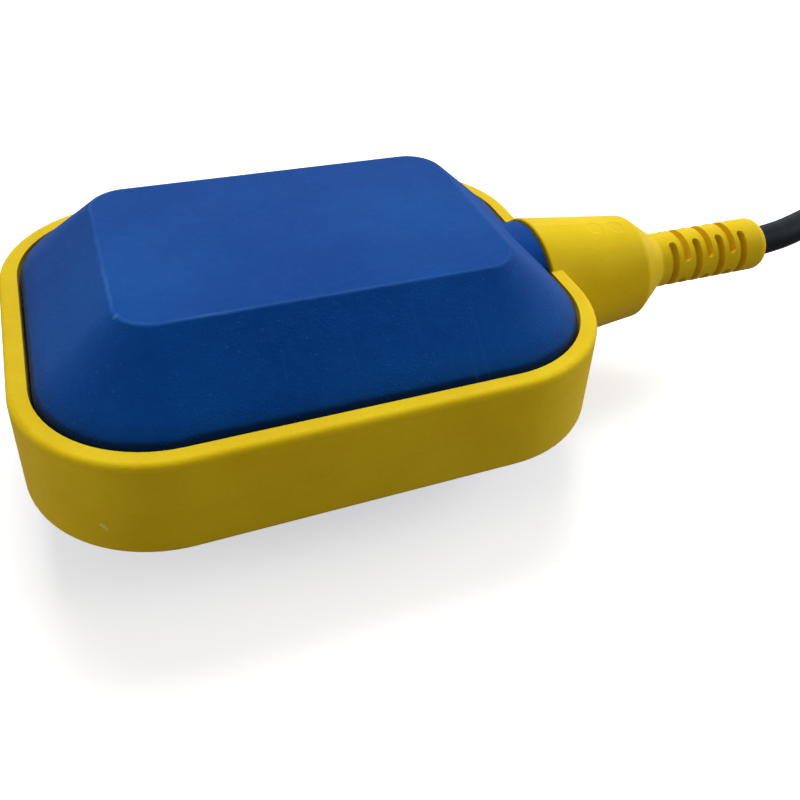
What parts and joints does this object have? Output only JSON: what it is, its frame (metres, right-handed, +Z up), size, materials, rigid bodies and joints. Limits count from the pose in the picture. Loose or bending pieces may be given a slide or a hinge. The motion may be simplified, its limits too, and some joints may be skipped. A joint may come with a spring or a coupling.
{
  "type": "cable float switch",
  "caption": "Flat rounded plastic float with a bumper band, a slotted strain relief and a trailing lead; a ball inside rolls against a lever microswitch as the float tilts.",
  "frame": {"origin": "middle of the lower shell's flat face, on which the float rests", "axes": "+X from the float towards its lead, +Y across the float, +Z up through both flat faces"},
  "size_m": [0.3014, 0.1069, 0.042],
  "materials": {
    "shell_blue": "moulded, satin",
    "band_yellow": "moulded, satin",
    "sheath": "smooth, satin",
    "carrier_plastic": "moulded, satin",
    "switch_case_plastic": "moulded, satin",
    "switch_cover_plastic": "moulded, satin",
    "plunger_plastic": "moulded, satin",
    "spring_steel": "rolled",
    "ball_steel": "polished",
    "screw_steel": "zinc plated",
    "contact_brass": "rolled",
    "core_black_pvc": "extruded",
    "core_blue_pvc": "extruded",
    "core_brown_pvc": "extruded",
    "seal_rubber": "moulded",
    "resin": "cast",
    "ferrule_tin": "tin plated"
  },
  "bodies": {
    "float": {"upper_shell": "shell_blue", "lower_shell": "shell_blue", "bumper_band": "band_yellow", "switch_carrier": "carrier_plastic", "carrier_cover": "carrier_plastic", "carrier_screws": "screw_steel", "cover_screws": "screw_steel", "microswitch_case": "switch_case_plastic", "microswitch_cover": "switch_cover_plastic", "lever_pin": "spring_steel", "common_terminal": "contact_brass", "normally_closed_terminal": "contact_brass", "normally_open_terminal": "contact_brass", "receptacle_common": "contact_brass", "receptacle_closed": "contact_brass", "receptacle_open": "contact_brass", "core_black": "core_black_pvc", "core_blue": "core_blue_pvc", "core_brown": "core_brown_pvc", "cable_entry": "sheath", "cord_grip": "carrier_plastic", "grip_screws": "screw_steel", "potting_plug": "resin", "cable_seal": "seal_rubber", "cable": "sheath", "cable_coil": "sheath", "tail_black": "core_black_pvc", "tail_blue": "core_blue_pvc", "tail_brown": "core_brown_pvc", "ferrule_black": "ferrule_tin", "ferrule_blue": "ferrule_tin", "ferrule_brown": "ferrule_tin"},
    "ball": {"steel_ball": "ball_steel"},
    "lever": {"microswitch_lever": "spring_steel"},
    "plunger_body": {"plunger": "plunger_plastic"},
    "blade": {"contact_blade": "contact_brass"}
  },
  "joints": [
    {"name": "ball_roll", "type": "slide", "parent": "float", "child": "ball", "axis": [1, 0, 0], "range_m": [0, 0.018]},
    {"name": "lever_pivot", "type": "hinge", "parent": "float", "child": "lever", "pos_m": [-0.0325, -0.0059, 0.021], "axis": [0, 0, 1], "range_deg": [0, 5.01]},
    {"name": "plunger_push", "type": "slide", "parent": "float", "child": "plunger_body", "axis": [0, 1, 0], "range_m": [0, 0.00092]},
    {"name": "blade_flex", "type": "hinge", "parent": "float", "child": "blade", "pos_m": [-0.03, 0.00055, 0.021], "axis": [0, 0, 1], "range_deg": [0, 6.56]}
  ],
  "couplings": [
    {"joint": "lever_pivot", "follows": "ball_roll", "rad_per_m": 4.8481},
    {"joint": "plunger_push", "follows": "ball_roll", "ratio": 0.051034},
    {"joint": "blade_flex", "follows": "ball_roll", "rad_per_m": 6.3515}
  ]
}
